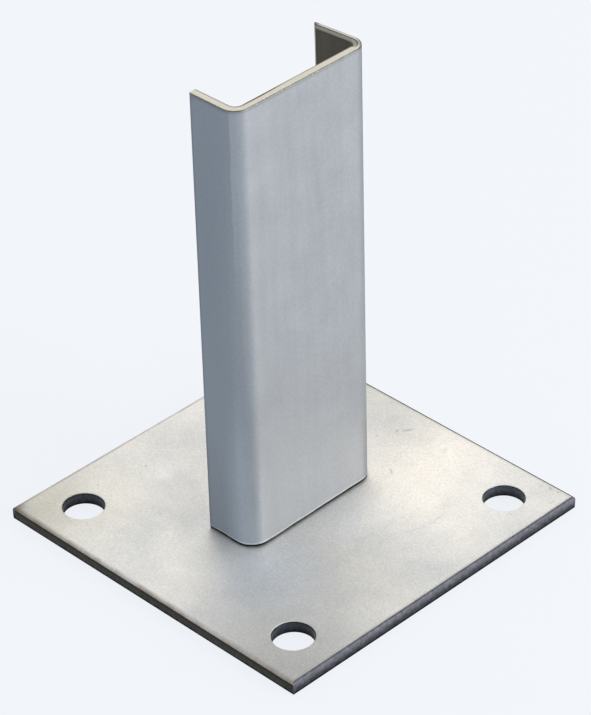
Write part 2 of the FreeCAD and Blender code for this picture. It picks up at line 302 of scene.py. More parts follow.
class Nodes:
    """A material's nodes, while they are put together."""

    def __init__(self, name: str) -> None:
        """Start a material whose pattern lies in the piece's own coordinates.

        Args:
            name: the material's name.
        """
        self.material = bpy.data.materials.new(name)
        self.material.use_nodes = True
        self.tree = self.material.node_tree
        self.shader = self.tree.nodes["Principled BSDF"]
        self.place = self.add("TexCoord", out="Object")

    def fill(self, node: bpy.types.Node, inputs: dict[str, object] | list) -> None:
        """Put values and links into a node.

        Args:
            node: the node.
            inputs: what goes into its inputs in use, in their order or by their names.
        """
        used = [socket for socket in node.inputs if socket.enabled]
        if isinstance(inputs, dict):
            names = [socket.name for socket in used]
            used = [used[names.index(name)] for name in inputs]
            inputs = list(inputs.values())
        for socket, value in zip(used, inputs):
            if isinstance(value, Socket):
                self.tree.links.new(value, socket)
            else:
                socket.default_value = value

    def add(self, kind: str, inputs: dict[str, object] | list | None = None, out: str = "",
            **settings: object) -> Socket:
        """Add one node with its settings and links.

        Args:
            kind: the node's type, without the word ShaderNode.
            inputs: what goes into its inputs in use, in their order or by their names.
            out: name of the output that is wanted, or nothing for the first one in use.
            settings: the node's own properties.

        Returns:
            The output.
        """
        made = self.tree.nodes.new("ShaderNode" + kind)
        for name, value in settings.items():
            setattr(made, name, value)
        self.fill(made, inputs or [])
        return made.outputs[out] if out else next(socket for socket in made.outputs if socket.enabled)

    def marked(self, marks: tuple["Mark", ...], start: float | Socket = 1.0) -> float | Socket:
        """Add up a start and the masks of several marks.

        Args:
            marks: the marks.
            start: what the sum starts from.

        Returns:
            The sum.
        """
        for mark in marks:
            start = self.add("Math", [start, mark.mask(self)])
        return start

    def shade(self, colour: Socket, tones: list[float | Socket]) -> Socket:
        """Darken or lighten a colour.

        Args:
            colour: the colour.
            tones: factors, where 1 leaves the colour as it is.

        Returns:
            The colour times all the factors.
        """
        product = tones[0]
        for tone in tones[1:]:
            product = self.add("Math", [product, tone], operation="MULTIPLY")
        return self.add("Mix", [1.0, colour, product], data_type="RGBA", blend_type="MULTIPLY")

    def metal(self, colour: Socket, roughness: float | Socket, height: Socket, strength: float,
              relief_mm: float) -> Material:
        """Finish the material as a bare or coated metal.

        Args:
            colour: its colour.
            roughness: its roughness.
            height: what its fine relief follows.
            strength: how strongly the relief shows.
            relief_mm: the relief's depth.

        Returns:
            The material.
        """
        bump = self.add("Bump", {"Strength": strength, "Distance": relief_mm * MM, "Height": height})
        self.fill(self.shader, {
            "Base Color": colour, "Roughness": roughness, "Normal": bump, "Metallic": 1.0})
        return self.material


@dataclass(frozen=True)
class Mark:
    """Soft oval mark on a surface, in the piece's own millimetres. Its sizes are half lengths."""

    x: float
    y: float
    length: float
    width: float
    turn_deg: float
    strength: float
    z: float = 5.0
    tall: float = 10.0

    def mask(self, nodes: Nodes) -> Socket:
        """Add the nodes that give the mark's strength at its middle and fall to 0 at its rim.

        Args:
            nodes: the material's nodes.

        Returns:
            The mask.
        """
        moved = nodes.add("Mapping", [
            nodes.place, (self.x * MM, self.y * MM, self.z * MM), (0.0, 0.0, math.radians(self.turn_deg)),
            (self.length * MM, self.width * MM, self.tall * MM)], vector_type="TEXTURE")
        away = nodes.add("VectorMath", [moved], operation="LENGTH")
        return nodes.add("MapRange", [away, 0.0, 1.0, self.strength, 0.0], interpolation_type="SMOOTHSTEP")


@dataclass(frozen=True)
class SatinPlateSteel:
    """Hot-rolled steel plate, pickled and oiled."""

    # Acid took the scale off: to the eye it is pale and satin, faintly warm and cloudy
    pale: str = "#D3D0C9"
    cool: str = "#CBCAC7"
    stain: str = "#6E5B49"
    roughness: Span = (0.56, 0.64)
    relief: Span = (0.25, 0.02)
    cloud: Noise = Noise(36.0, 3.0, 0.5)
    mottle: Noise = Noise(8.0, 4.0, 0.6)
    # The real grain is about 0.2 mm, too fine to show, so it is drawn at 0.8 mm
    grain: Noise = Noise(0.8, 2.0, 0.7)
    mottle_tone: Span = (0.96, 1.03)
    grain_tone: Span = (0.86, 1.1)
    # The edges are browned over this width, in patches that follow the mottling
    brown_mm: float = 2.0
    brown_share: float = 0.85
    patch_from: Span = (0.35, 0.6)
    patch_least: float = 0.4
    # Painted light and shade: the plate is darker over a few centimetres towards the left corner, the
    # near corner and the far right edge, and lighter on the right part and in front of the channel. The
    # last three lie by the weld beads, whose heat darkened it
    clouds: tuple[Mark, ...] = (
        Mark(-74, 74, 36, 36, 0, -0.26),
        Mark(-75, 75, 7, 7, 0, -0.5),
        Mark(-70, -70, 44, 44, 0, -0.2),
        Mark(-26, -52, 34, 22, -20, -0.04),
        Mark(48, -28, 56, 46, 30, 0.26),
        Mark(6, -25, 30, 18, 0, 0.16),
        Mark(-39, -14, 24, 20, 0, 0.12),
        Mark(74, 30, 40, 60, 0, -0.16),
        Mark(0.9, -3.5, 27, 6.5, 0.6, -0.3, tall=4),
        Mark(-25, 4, 6, 10, 0.6, -0.25, tall=4),
        Mark(26, 6, 6, 10, 5.8, -0.25, tall=4),
    )
    # Old oil yellowed the left corner. A painted bluish reflection of the coated channel lies on the plate
    # before the left bend, and a painted warm tint of the light on the brighter right part
    tints: tuple[tuple[str, Mark], ...] = (
        ("#D1CDC1", Mark(-64, 66, 44, 44, 0, 0.9)),
        ("#CACCCE", Mark(-38, -24, 38, 30, 40, 0.9)),
        ("#D0CAC0", Mark(50, -22, 56, 48, 30, 0.8)),
    )
    # Thumb smudges, specks of scale and short scratches
    specks: tuple[Mark, ...] = (
        Mark(-18.5, 50, 12, 9, 0, 0.1),
        Mark(-22, 47, 8, 5, 45, 0.07),
        Mark(-22.6, 57.3, 0.8, 0.6, 0, -0.4),
        Mark(-39.7, 31.3, 0.9, 0.6, 30, -0.3),
        Mark(-43.4, 61.8, 0.7, 0.7, 0, -0.3),
        Mark(51.8, 6.3, 0.8, 0.6, 0, -0.45),
        Mark(62.8, 0.3, 3.6, 1.2, -30, -0.3),
        Mark(59.5, 3, 2, 0.8, 15, -0.3),
        Mark(63.1, -19.1, 2.8, 1.6, 40, -0.16),
        Mark(72.4, -64.8, 2.2, 0.8, 70, -0.3),
        Mark(72.6, -68.5, 1.6, 0.6, 110, -0.3),
        Mark(71, -61.5, 1.2, 0.7, 20, -0.2),
        Mark(66.5, -71, 2, 0.6, 10, -0.2),
        Mark(39.2, -13.3, 3.2, 0.5, 60, -0.4),
        Mark(29.5, -46.5, 6.5, 0.45, 5, -0.22),
        Mark(18, -44.5, 6, 0.45, -22, -0.2),
    )

    def material(self) -> Material:
        """Make the material: clouds, mottling, grain, marks of painted light and shade, tints, and browned
        edges.

        Returns:
            The material.
        """
        nodes = Nodes("satin_pickled_plate")
        cloud, mottle, grain = (nodes.add("TexNoise", [nodes.place, *noise.inputs()])
                                for noise in (self.cloud, self.mottle, self.grain))
        warmth = nodes.add("MapRange", [cloud, *MIDDLE])
        base = nodes.add("Mix", [warmth, linear(self.pale), linear(self.cool)], data_type="RGBA")
        for code, mark in self.tints:
            base = nodes.add("Mix", [mark.mask(nodes), base, linear(code)], data_type="RGBA")
        worn = nodes.shade(base, [nodes.add("MapRange", [mottle, *MOST, *self.mottle_tone]),
                                  nodes.add("MapRange", [grain, *WIDE, *self.grain_tone]),
                                  nodes.marked(self.clouds + self.specks)])
        edge = nodes.add("Attribute", out="Fac", attribute_name="edge_mm")
        near = nodes.add("MapRange", [edge, 0.0, self.brown_mm, self.brown_share, 0.0])
        patch = nodes.add("MapRange", [mottle, *self.patch_from, self.patch_least, 1.0])
        spread = nodes.add("Math", [near, patch], operation="MULTIPLY")
        browned = nodes.add("Mix", [spread, worn, linear(self.stain)], data_type="RGBA")
        rough = nodes.add("MapRange", [cloud, *MOST, *self.roughness])
        return nodes.metal(browned, rough, grain, *self.relief)


@dataclass(frozen=True)
class CutEdgeSteel:
    """Steel edge where a blade, a punch or the mill's rolls ended the plate."""

    # The tool burnished its upper part and tore off the rest: to the eye it is two dull bands with
    # a ragged line between them. A near-black band at the foot is painted contact shadow
    name: str
    smooth: str
    torn: str
    torn_below_mm: float
    # Painted contact shadow along the foot, where the plate meets the floor: its colour, and the heights over
    # which it fades
    burr: str = "#232224"
    burr_mm: Span = (1.2, 2.0)
    roughness: float = 0.5
    torn_rougher: float = 0.2
    relief: Span = (0.4, 0.08)
    tear: Noise = Noise(1.4, 4.0, 0.65)
    tear_tone: Span = (0.68, 1.27)
    # How far the line between the bands wanders
    ragged_mm: float = 1.6
    # Painted shade on the rolled edge, where it would catch the lamps: its tone at the top of the edge,
    # reached over this share of it
    roll_shade: float = 0.45
    roll_share: float = 0.8
    marks: tuple[Mark, ...] = ()

    def material(self) -> Material:
        """Make the material: two bands by height, with a ragged line between them, and a painted contact
        shadow at the foot.

        Returns:
            The material.
        """
        nodes = Nodes(self.name)
        height = nodes.add("SeparateXYZ", [nodes.place], out="Z")
        tear = nodes.add("TexNoise", [nodes.place, *self.tear.inputs()])
        line = nodes.add("Math", [tear, self.ragged_mm * MM, height], operation="MULTIPLY_ADD")
        low, high = self.torn_below_mm * MM, (self.torn_below_mm + self.ragged_mm) * MM
        band = nodes.add("MapRange", [line, low, high])
        base = nodes.add("Mix", [band, linear(self.torn), linear(self.smooth)], data_type="RGBA")
        # Painted contact shadow at the foot
        burr = nodes.add("MapRange", [line, *(mm * MM for mm in self.burr_mm), 1.0, 0.0])
        footed = nodes.add("Mix", [burr, base, linear(self.burr)], data_type="RGBA")
        edge = nodes.add("Attribute", out="Fac", attribute_name="edge_mm")
        worn = nodes.shade(footed, [nodes.add("MapRange", [tear, *MOST, *self.tear_tone]),
                                    nodes.add("MapRange", [edge, 0.0, self.roll_share, 1.0, self.roll_shade]),
                                    nodes.marked(self.marks)])
        rough = nodes.add("MapRange", [band, 0.0, 1.0, self.roughness + self.torn_rougher, self.roughness])
        return nodes.metal(worn, rough, tear, *self.relief)


@dataclass(frozen=True)
class CoatedSheet:
    """Cold-rolled steel sheet with a thin zinc coat."""

    # The coat's bloom scatters the light: to the eye it is dull, smooth and blue-grey, with faint
    # streaks along the rolling
    name: str = "zinc_coated_sheet"
    body: str = "#9A9DA0"
    streaked: str = "#96999D"
    # The left flange is bluer than the web: painted cooler light on that side
    flange: str = "#8F99A3"
    # Colour of the painted contact shadow along the foot
    foot: str = "#0E0F11"
    roughness: Span = (0.48, 0.52)
    relief: Span = (0.1, 0.02)
    # A streak is this many times as long as it is wide
    streak: Noise = Noise(5.0, 4.0, 0.6)
    streak_length: float = 12.0
    cloud: Noise = Noise(14.0, 4.0, 0.55)
    # The real bloom is far finer than a pixel, so it is drawn at 0.9 mm
    bloom: Noise = Noise(0.9, 2.0, 0.6)
    cloud_tone: Span = (0.98, 1.02)
    bloom_tone: Span = (0.95, 1.05)
    # Handling darkened the rims over this width
    rim_mm: Span = (0.2, 1.6)
    rim_shade: float = 0.68
    # A painted highlight band lies on the upper part of the left bend. It sways with the
    # clouds, and its start, brightest place and end are shares of the bend
    band_gain: float = 0.24
    band: tuple[float, float, float] = (0.31, 0.37, 0.92)
    band_sway: float = 0.14
    band_mm: Span = (110.0, 165.0)
    # A dark line of painted contact shadow runs along the foot on the plate's top face, with a painted
    # highlight line above it. Shadow: where it starts to fade and ends. Highlight line: its middle and half
    # its width
    plate_mm: float = 5.0
    wander_mm: float = 1.2
    joint_mm: Span = (0.92, 1.15)
    rubbed_mm: Span = (1.45, 0.35)
    rubbed_gain: float = 0.32
    marks: tuple[Mark, ...] = ()

    def burnished(self, nodes: Nodes, fold: Socket, cloud: Socket, height: Socket) -> Socket:
        """Tone of the painted highlight band, which fades out downwards.

        Args:
            nodes: the material's nodes.
            fold: how far round the left bend a point is, 0 to 1.
            cloud: the clouds.
            height: height above the floor, in metres.

        Returns:
            The tone, 1 away from the band.
        """
        start, full, end = self.band
        sway = nodes.add("Math", [cloud, self.band_sway, fold], operation="MULTIPLY_ADD")
        begins = nodes.add("MapRange", [sway, start, full, 0.0, self.band_gain])
        fades = nodes.add("MapRange", [sway, full, end, self.band_gain, 0.0])
        band = nodes.add("Math", [begins, fades], operation="MINIMUM")
        high = nodes.add("MapRange", [height, *(mm * MM for mm in self.band_mm)])
        return nodes.add("Math", [band, high, 1.0], operation="MULTIPLY_ADD")

    def material(self) -> Material:
        """Make the material: streaks along the sheet's length, clouds, a fine bloom, painted light and a
        painted contact shadow.

        Returns:
            The material.
        """
        nodes = Nodes(self.name)
        along = nodes.add("Mapping", {"Vector": nodes.place, "Scale": (1.0, 1.0, 1 / self.streak_length)})
        streak, cloud, bloom = (nodes.add("TexNoise", [place, *noise.inputs()]) for place, noise in (
            (along, self.streak), (nodes.place, self.cloud), (nodes.place, self.bloom)))
        fold, edge = (nodes.add("Attribute", out="Fac", attribute_name=name) for name in ("fold", "edge_mm"))
        height = nodes.add("SeparateXYZ", [nodes.place], out="Z")
        streaks = nodes.add("MapRange", [streak, *MIDDLE])
        rolled = nodes.add("Mix", [streaks, linear(self.body), linear(self.streaked)], data_type="RGBA")
        base = nodes.add("Mix", [fold, linear(self.flange), rolled], data_type="RGBA")
        toned = nodes.shade(base, [nodes.add("MapRange", [cloud, *MOST, *self.cloud_tone]),
                                   nodes.add("MapRange", [bloom, *MOST, *self.bloom_tone]),
                                   self.burnished(nodes, fold, cloud, height),
                                   nodes.add("MapRange", [edge, *self.rim_mm, self.rim_shade, 1.0]),
                                   nodes.marked(self.marks)])
        ragged = nodes.add("Math", [cloud, -self.wander_mm * MM, height], operation="MULTIPLY_ADD")
        floor = self.plate_mm - self.wander_mm / 2
        # Painted contact shadow along the foot
        joint = nodes.add("MapRange", [ragged, *((floor + mm) * MM for mm in self.joint_mm), 1.0, 0.0])
        middle, half = self.rubbed_mm
        # Painted highlight line above the contact shadow
        above = nodes.add("Math", [ragged, (floor + middle) * MM, half * MM], operation="COMPARE")
        rubbed = nodes.add("Math", [above, self.rubbed_gain, 1.0], operation="MULTIPLY_ADD")
        footed = nodes.add("Mix", [joint, nodes.shade(toned, [rubbed]), linear(self.foot)], data_type="RGBA")
        rough = nodes.add("MapRange", [cloud, *MOST, *self.roughness])
        return nodes.metal(footed, rough, cloud, *self.relief)


@dataclass(frozen=True)
class CutFaceSteel:
    """Bare steel of the sheet's sheared edges."""

    # Freshly sheared metal: to the eye it is bright and faintly yellow, between two thin dark rims;
    # the outer rim is painted shade on the rounded edge. On the bevel its inner part is a grey lip, behind a
    # dark seam
    bright: str = "#ABA79B"
    outer_rim: str = "#5A5D52"
    inner_rim: str = "#4A382E"
    lip: str = "#85877E"
    seam: str = "#3A3B36"
    roughness: float = 0.42
    relief: Span = (0.3, 0.05)
    grain: Noise = Noise(1.2, 3.0, 0.6)
    grain_tone: Span = (0.93, 1.04)
    sheet_mm: float = 3.2
    rim_mm: float = 0.6
    # How far the rims' borders wander
    ragged_mm: float = 0.3
    # Depths over which the lip begins, and the seam's middle and half width
    lip_mm: Span = (1.4, 1.65)
    seam_mm: Span = (1.5, 0.2)
    # The blade left a dark burr along the inner rim of the web's left half
    burr: Mark = Mark(-18, -7.4, 17, 6, 0.6, 0.45, z=193, tall=6)
    # Duller along the right flange, dark at its tip and at the outer side of its bend
    marks: tuple[Mark, ...] = (
        Mark(32.5, 8, 12, 20, 0, -0.17, z=193, tall=10),
        Mark(31.9, 14.3, 3.4, 3, 0, -0.8, z=193, tall=8),
        Mark(32.3, -7.4, 4.8, 2.6, 58, -0.5, z=193, tall=8),
    )

    def material(self) -> Material:
        """Make the material: rims by depth through the sheet, the outer one painted shade, and the grey lip
        that the blade left.

        Returns:
            The material.
        """
        nodes = Nodes("sheared_sheet_face")
        grain = nodes.add("TexNoise", [nodes.place, *self.grain.inputs()])
        depth, bevel = (nodes.add("Attribute", out="Fac", attribute_name=name)
                        for name in ("depth_mm", "bevel"))
        ragged = nodes.add("Math", [grain, self.ragged_mm, depth], operation="MULTIPLY_ADD")
        skin = self.ragged_mm / 2
        back = self.sheet_mm + skin
        lip, seam = (nodes.add("Math", [part, bevel], operation="MULTIPLY") for part in (
            nodes.add("MapRange", [depth, *self.lip_mm]),
            nodes.add("Math", [depth, *self.seam_mm], operation="COMPARE")))
        # Painted shade along the outer rim
        outer = nodes.add("MapRange", [ragged, skin, skin + self.rim_mm, 1.0, 0.0])
        burred = nodes.add("Math", [ragged, self.burr.mask(nodes)])
        inner = nodes.add("MapRange", [burred, back - self.rim_mm, back])
        colour = linear(self.bright)
        for share, code in ((lip, self.lip), (seam, self.seam), (outer, self.outer_rim),
                            (inner, self.inner_rim)):
            colour = nodes.add("Mix", [share, colour, linear(code)], data_type="RGBA")
        tone = nodes.add("MapRange", [grain, *MOST, *self.grain_tone])
        worn = nodes.shade(colour, [nodes.marked(self.marks, tone)])
        return nodes.metal(worn, self.roughness, grain, *self.relief)


@dataclass(frozen=True)
class WeldSteel:
    """Weld metal as it froze."""

    # It froze in ripples: to the eye they are grey and faintly shiny, with brown oxide between them
    crest: str = "#96948F"
    hollow: str = "#463C34"
    roughness: Span = (0.4, 0.6)
    relief: Span = (0.3, 0.04)
    oxide: Noise = Noise(2.6, 3.0, 0.5)
    pits: Noise = Noise(0.6, 2.0, 0.6)
    # The deeper between the ripples, the browner, and browner still in patches
    sunk_mm: Span = (0.014, 0.14)
    sunk_share: float = 0.55
    patch_from: Span = (0.4, 0.65)
    patch_share: float = 0.4

    def material(self) -> Material:
        """Make the material: brown between the ripples, in patches, and fine pits.

        Returns:
            The material.
        """
        nodes = Nodes("as_laid_weld_metal")
        oxide, pits = (nodes.add("TexNoise", [nodes.place, *noise.inputs()])
                       for noise in (self.oxide, self.pits))
        dip = nodes.add("Attribute", out="Fac", attribute_name="dip_mm")
        sunk = nodes.add("MapRange", [dip, *self.sunk_mm, 0.0, self.sunk_share])
        patch = nodes.add("MapRange", [oxide, *self.patch_from, 0.0, self.patch_share])
        browned = nodes.add("Math", [sunk, patch], use_clamp=True)
        base = nodes.add("Mix", [browned, linear(self.crest), linear(self.hollow)], data_type="RGBA")
        rough = nodes.add("MapRange", [browned, 0.0, 1.0, *self.roughness])
        return nodes.metal(base, rough, pits, *self.relief)


class PlateSkin(IntEnum):
    """The plate's surfaces, by how each was made."""

    ROLLED = 0
    SHEARED = 1
    MILL_EDGE = 2
    PUNCHED = 3


@dataclass
class BasePlate:
    """Square plate cut from wide flat bar, with four punched anchor holes. Millimetres."""

    half: float = 75.0
    thickness: float = 5.0
    roll: float = 1.0
    hole_inset: float = 19.0
    hole_radius: float = 8.0
    hole_roll: float = 0.6
    # Points down a hole's rolled edge, and how many of the cells between them are pale like the face
    hole_roll_points: int = 5
    hole_pale_cells: int = 2
    # Cells along a quarter of a side, down a side and a hole's wall, and out from a hole
    cells: int = 30
    side_steps: int = 14
    wall_steps: int = 12
    ring_steps: int = 10
    ring_growth: float = 1.3
    # The torn bands lean in by their depth between two heights, as shares of the thickness
    tear_depth: float = 0.12
    tear_heights: Span = (0.52, 0.05)
    hole_tear: float = 0.12
    hole_tear_heights: Span = (0.5, 0.05)
    # Unevenness of the torn bands, and its cells down and across
    tear_noise: float = 0.05
    noise_heights: Span = (0.5, 0.2)
    noise_cells: Span = (2.0, 3.0)
    hole_noise_cells: Span = (1.5, 3.0)
    corner_fade: int = 24
    # The sheared ends' foot bends half back out, and the mill edges' foot is rounded
    burr_height: float = 0.3
    foot_inset: float = 0.1
    foot_height: float = 0.5
    # A hole's rim is as brown as the plate is at this distance from its sides
    hole_edge: float = 1.0

    def finishes(self) -> list[Material]:
        """Make the finishes.

        Returns:
            Materials in the order of PlateSkin.
        """
        # The right hole's wall is paler than the others
        paler = (Mark(56, -56, 20, 20, 0, 0.75),)
        return [
            SatinPlateSteel().material(),
            CutEdgeSteel("sheared_end_steel", smooth="#64666C", torn="#484A50", torn_below_mm=2.6,
                         roughness=0.75, roll_shade=0.97).material(),
            # The mill edges' dark brown is scale, made darker still as painted shade
            CutEdgeSteel("mill_edge_scale_and_painted_shade", smooth="#352B26", torn="#51524C", torn_below_mm=3.2,
                         roughness=0.6).material(),
            # The holes' walls are darkened as painted shade inside the holes
            CutEdgeSteel("punched_wall_steel", smooth="#40434A", torn="#34363A", torn_below_mm=2.2,
                         marks=paler).material(),
        ]

    def shares(self, heights: Span) -> Span:
        """Heights given as shares of the plate's thickness."""
        return heights[0] * self.thickness, heights[1] * self.thickness

    def side_profile(self) -> tuple[Array, Array, Array]:
        """Outline of the sides from the top face down.

        The top edge is a quarter circle of the roll's radius. Below it, the sheared ends go
        straight down and then lean inwards where the metal tore, and the mill edges stay
        straight and round off at the foot.

        Returns:
            Height of each ring, and its inset on the sheared ends and on the mill edges.
        """
        inset, drop = quarter_round(self.roll, ROLL_STEPS + 1)
        below = np.linspace(self.thickness - self.roll, 0, self.side_steps + 1)[1:]
        torn = ramp(below, *self.shares(self.tear_heights)) - ramp(below, self.burr_height, 0) / 2
        milled = self.foot_inset * (1 - np.sqrt(1 - ramp(below, self.foot_height, 0) ** 2))
        return (np.concatenate([self.thickness - drop, below]),
                np.concatenate([inset, self.tear_depth * torn]), np.concatenate([inset, milled]))

    def square_rim(self) -> Array:
        """Points round a square of half side 1.

        Returns:
            The points, evenly spaced and anticlockwise from (-1, -1).
        """
        run = np.linspace(-1, 1, 4 * self.cells, endpoint=False)
        one = np.ones_like(run)
        sides = (run, -one), (one, run), (-run, one), (-one, -run)
        return np.concatenate([np.stack(side, 1) for side in sides])

    def add_sides(self, shell: Shell, rng: np.random.Generator) -> Span:
        """Carry the side profile round the square.

        Each ring is the square rim times the ring's half lengths, pushed in by the torn band's
        unevenness, which fades out towards the corners.

        Args:
            shell: the shell that takes the sides.
            rng: the seeded source of the unevenness.

        Returns:
            Half lengths of the lowest ring along X and Y.
        """
        height, sheared, milled = self.side_profile()
        rim = self.square_rim()
        on_end = np.abs(rim[:, 1]) == 1
        wander = np.abs(drift(rng, len(height), len(rim), *self.noise_cells))
        torn = ramp(height, *self.shares(self.noise_heights))
        torn[-1] = 0
        fade = 1 - np.abs(rim).min(axis=1) ** self.corner_fade
        push = self.tear_noise * wander * torn[:, None] * fade * on_end
        half_x, half_y = self.half - milled[:, None], self.half - sheared[:, None]
        flat = np.stack([rim[:, 0] * half_x, rim[:, 1] * (half_y - push)], axis=-1)
        # The face's pale finish runs down the roll of the left mill edge and a little of the far end's.
        # The sides come in the order of the rim: near end, right edge, far end, left edge
        reach = np.array([0, 0, 2, ROLL_STEPS - 1])[np.arange(len(rim)) * 4 // len(rim)]
        skins = np.where(np.arange(len(height) - 1)[:, None] < reach, PlateSkin.ROLLED,
                         np.where(on_end, PlateSkin.SHEARED, PlateSkin.MILL_EDGE))
        # This value also sets the painted shade down the rolled edge of the mill edges
        edge = ramp(height, self.thickness - self.roll, self.thickness)
        shell.add_grid(raised(flat, height[:, None, None]), skins, [edge[:, None]], wrap=True)
        return self.half - milled[-1], self.half - sheared[-1]

    def hole_rims(self, half_x: float, half_y: float) -> list[tuple[Array, Array, Array]]:
        """Cells that surround the four holes in a face. Each is a square a quarter as wide as the face.

        Args:
            half_x: half the face's length along X.
            half_y: half its length along Y.

        Returns:
            For each hole its centre, the cell's rim, and directions from the centre to that rim.
        """
        cell, found = self.square_rim()[::4] / 4, []
        for side in np.array([(-1, -1), (1, -1), (1, 1), (-1, 1)]):
            rim = (cell + 0.75 * side) * np.array([half_x, half_y])
            centre = side * (self.half - self.hole_inset)
            found.append((centre, rim, unit(rim - centre)))
        return found

    def add_face(self, shell: Shell, height: float, half_x: float, half_y: float, hole_edge: float) -> None:
        """Lay a flat face: a square grid without its corner cells, and a ring round each hole in their place.

        A ring's points run straight from the hole's circle to the cell's rim.

        Args:
            shell: the shell that takes the face.
            height: the face's height.
            half_x: half its length along X.
            half_y: half its length along Y.
            hole_edge: radius of the holes in it.
        """
        def side_gap(flat: Array) -> Array:
            """Distance from the plate's nearest side."""
            return np.minimum(half_x - np.abs(flat[..., 0]), half_y - np.abs(flat[..., 1])) + self.roll

        line = np.linspace(-1, 1, 4 * self.cells + 1)
        flat = np.stack(np.meshgrid(line * half_x, line * half_y, indexing="ij"), axis=-1)
        corner = np.abs((line[:-1] + line[1:]) / 2) > 0.5
        shell.add_grid(raised(flat, height), PlateSkin.ROLLED, [side_gap(flat)],
                       keep=~(corner[:, None] & corner[None, :]))
        step = np.linspace(0, 1, self.ring_steps + 1)[:, None, None] ** self.ring_growth
        for centre, rim, out in self.hole_rims(half_x, half_y):
            flat = (centre + out * hole_edge) * (1 - step) + rim * step
            hole_gap = np.linalg.norm(flat - centre, axis=-1) - hole_edge + self.hole_roll
            shell.add_grid(raised(flat, height), PlateSkin.ROLLED,
                           [np.minimum(self.hole_edge + 2 * hole_gap, side_gap(flat))], wrap=True)

    def add_hole_walls(self, shell: Shell, rng: np.random.Generator, top: Span, low: Span) -> None:
        """Carry the punched profile round each hole: a rolled edge, a smooth band and a torn, wider one.

        Args:
            shell: the shell that takes the walls.
            rng: the seeded source of the unevenness.
            top: half lengths of the top face.
            low: half lengths of the lower face.
        """
        inset, drop = quarter_round(self.hole_roll, self.hole_roll_points)
        below = np.linspace(self.thickness - self.hole_roll, 0, self.wall_steps + 1)[1:]
        torn = ramp(below, *self.shares(self.hole_tear_heights))
        height = np.concatenate([self.thickness - drop, below])
        radius = self.hole_radius + np.concatenate([inset, self.hole_tear * torn])
        rough = np.concatenate([0 * inset, torn])
        rough[-1] = 0
        sink = (1 - height / self.thickness)[:, None, None]
        skins = np.full((len(height) - 1, 4 * self.cells), PlateSkin.PUNCHED)
        skins[:self.hole_pale_cells] = PlateSkin.ROLLED
        # The rolled edge of a hole is only faintly browned, and the wall below it not at all. On the edge's
        # punched cells the same value also sets the painted shade of the rolled edge
        edge = self.hole_edge + height - below[0]
        edge[self.hole_roll_points - 1:] = 0
        for (centre, _, upper), (_, _, lower) in zip(self.hole_rims(*top), self.hole_rims(*low)):
            out = unit(upper * (1 - sink) + lower * sink)
            wander = np.abs(drift(rng, len(height), 4 * self.cells, *self.hole_noise_cells))
            reach = radius[:, None] + wander * self.tear_noise * rough[:, None]
            walls = raised(centre + out * reach[..., None], height[:, None, None])
            shell.add_grid(walls, skins, [edge[:, None]], wrap=True)

    def build(self) -> None:
        """Make the plate and put it in its CAD node's place."""
        rng = np.random.default_rng(SEED)
        shell = Shell("edge_mm")
        top = (self.half - self.roll, self.half - self.roll)
        low = self.add_sides(shell, rng)
        self.add_face(shell, self.thickness, *top, self.hole_radius + self.hole_roll)
        self.add_face(shell, 0.0, *low, self.hole_radius + self.hole_tear)
        self.add_hole_walls(shell, rng, top, low)
        stand_for(shell.make("square_plate", self.finishes(), sharp_deg=50), "base_plate")


class SheetSkin(IntEnum):
    """The channel's surfaces, by how each was made."""

    OUTSIDE = 0
    CUT = 1
    INSIDE = 2


class Stretch(IntEnum):
    """Stretches of the fold line, from the left tip to the right one."""

    LEFT_FLANGE = 0
    LEFT_BEND = 1
    WEB = 2
    RIGHT_BEND = 3
    RIGHT_FLANGE = 4


